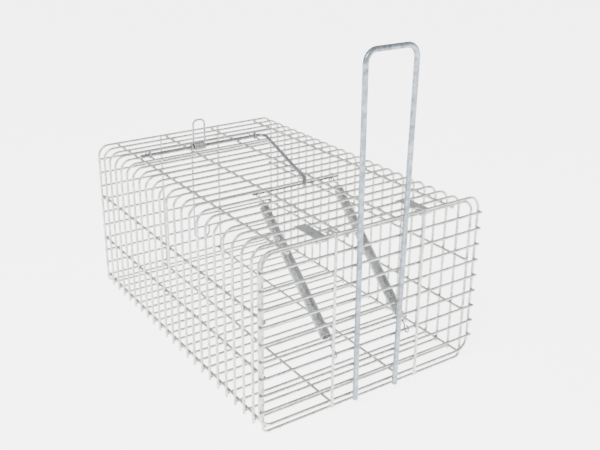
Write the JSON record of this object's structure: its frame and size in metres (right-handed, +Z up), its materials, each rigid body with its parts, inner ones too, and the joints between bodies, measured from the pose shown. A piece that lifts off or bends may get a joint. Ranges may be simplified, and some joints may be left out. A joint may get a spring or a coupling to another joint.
{
  "type": "live catch trap",
  "caption": "Wire cage trap with a top-hinged front door, two closing springs, a tall handle and a roof trigger with a bait hook.",
  "frame": {"origin": "on the ground under the middle of the whole trap", "axes": "+Z up; +Y from the door at the front to the back panel, along the cage; +X to the right seen from the door"},
  "size_m": [0.186, 0.2764, 0.2479],
  "materials": {
    "cage_wire": "galvanised, dull grey with a faint blue cast",
    "door_wire": "galvanised, slightly brighter than the cage",
    "handle_rod": "galvanised rod, smooth",
    "dark_rod": "dark oiled rod",
    "hinge_sheet": "bright galvanised sheet, folded",
    "spring_wire": "zinc-plated spring wire, close wound",
    "trigger_rod": "galvanised rod",
    "bait_wire": "galvanised wire"
  },
  "bodies": {
    "cage": {"front_frame": "cage_wire", "back_frame": "cage_wire", "hoop_1": "cage_wire", "hoop_2": "cage_wire", "hoop_3": "cage_wire", "hoop_4": "cage_wire", "hoop_5": "cage_wire", "hoop_6": "cage_wire", "hoop_7": "cage_wire", "hoop_8": "cage_wire", "hoop_9": "cage_wire", "hoop_10": "cage_wire", "hoop_11": "cage_wire", "hoop_12": "cage_wire", "hoop_13": "cage_wire", "hoop_14": "cage_wire", "hoop_15": "cage_wire", "hoop_16": "cage_wire", "hoop_17": "cage_wire", "hoop_18": "cage_wire", "hoop_19": "cage_wire", "hoop_20": "cage_wire", "hoop_21": "cage_wire", "back_cross_wires": "cage_wire", "back_upright_wires": "cage_wire", "floor_cross_wires": "cage_wire", "left_upper_rail": "cage_wire", "left_lower_rail": "cage_wire", "left_bottom_rail": "cage_wire", "right_upper_rail": "cage_wire", "right_lower_rail": "cage_wire", "right_bottom_rail": "cage_wire", "roof_rail_1": "cage_wire", "roof_rail_2": "cage_wire", "roof_rail_3": "cage_wire", "roof_rail_4": "cage_wire", "floor_rail_1": "cage_wire", "floor_rail_2": "cage_wire", "spring_rod": "dark_rod", "left_hinge_clip": "hinge_sheet", "right_hinge_clip": "hinge_sheet", "left_axle_eye": "bait_wire", "right_axle_eye": "bait_wire"},
    "door": {"door_frame": "door_wire", "door_bars": "door_wire", "left_hinge_wire": "door_wire", "right_hinge_wire": "door_wire", "handle": "handle_rod"},
    "trigger": {"trigger_rod": "trigger_rod", "bait_sleeve": "bait_wire", "finger_loop": "bait_wire", "bait_hook": "bait_wire"},
    "left_spring_top": {"left_spring_upper_hook": "spring_wire"},
    "left_spring_body": {"left_spring_coil": "spring_wire"},
    "left_spring_bottom": {"left_spring_lower_hook": "spring_wire"},
    "right_spring_top": {"right_spring_upper_hook": "spring_wire"},
    "right_spring_body": {"right_spring_coil": "spring_wire"},
    "right_spring_bottom": {"right_spring_lower_hook": "spring_wire"}
  },
  "joints": [
    {"name": "door_swing", "type": "hinge", "parent": "cage", "child": "door", "pos_m": [0, -0.12879, 0.128], "axis": [-1, 0, 0], "range_deg": [0, 78], "stiffness_Nm_per_rad": 0.02, "springref_deg": -17.19},
    {"name": "trigger_tilt", "type": "hinge", "parent": "cage", "child": "trigger", "pos_m": [0, 0.08071, 0.1311], "axis": [-1, 0, 0], "range_deg": [0, 20]},
    {"name": "left_spring_swing", "type": "hinge", "parent": "cage", "child": "left_spring_top", "pos_m": [-0.027, -0.02579, 0.12371], "axis": [-0.9986, 0.0359, 0.0396], "range_deg": [0, 33.68]},
    {"name": "left_spring_stretch", "type": "slide", "parent": "left_spring_top", "child": "left_spring_body", "axis": [-0.0524, -0.8051, -0.5909], "range_m": [0, 0.05212], "deforming": ["left_spring_coil"]},
    {"name": "left_hook_turn", "type": "hinge", "parent": "door", "child": "left_spring_bottom", "pos_m": [-0.034, -0.13341, 0.04472], "axis": [-1, 0, 0], "range_deg": [-44.4, 0]},
    {"name": "right_spring_swing", "type": "hinge", "parent": "cage", "child": "right_spring_top", "pos_m": [0.0415, -0.02579, 0.12371], "axis": [-0.9951, 0.0664, 0.0733], "range_deg": [0, 33.62]},
    {"name": "right_spring_stretch", "type": "slide", "parent": "right_spring_top", "child": "right_spring_body", "axis": [-0.0969, -0.8024, -0.5889], "range_m": [0, 0.05199], "deforming": ["right_spring_coil"]},
    {"name": "right_hook_turn", "type": "hinge", "parent": "door", "child": "right_spring_bottom", "pos_m": [0.0285, -0.13341, 0.04472], "axis": [-1, 0, 0], "range_deg": [-44.4, 0]}
  ],
  "couplings": [
    {"joint": "left_spring_swing", "follows": "door_swing", "ratio": 0.43111},
    {"joint": "left_spring_stretch", "follows": "door_swing", "m_per_rad": 0.038246},
    {"joint": "left_hook_turn", "follows": "door_swing", "ratio": -0.56858},
    {"joint": "right_spring_swing", "follows": "door_swing", "ratio": 0.43033},
    {"joint": "right_spring_stretch", "follows": "door_swing", "m_per_rad": 0.038154},
    {"joint": "right_hook_turn", "follows": "door_swing", "ratio": -0.56858}
  ]
}
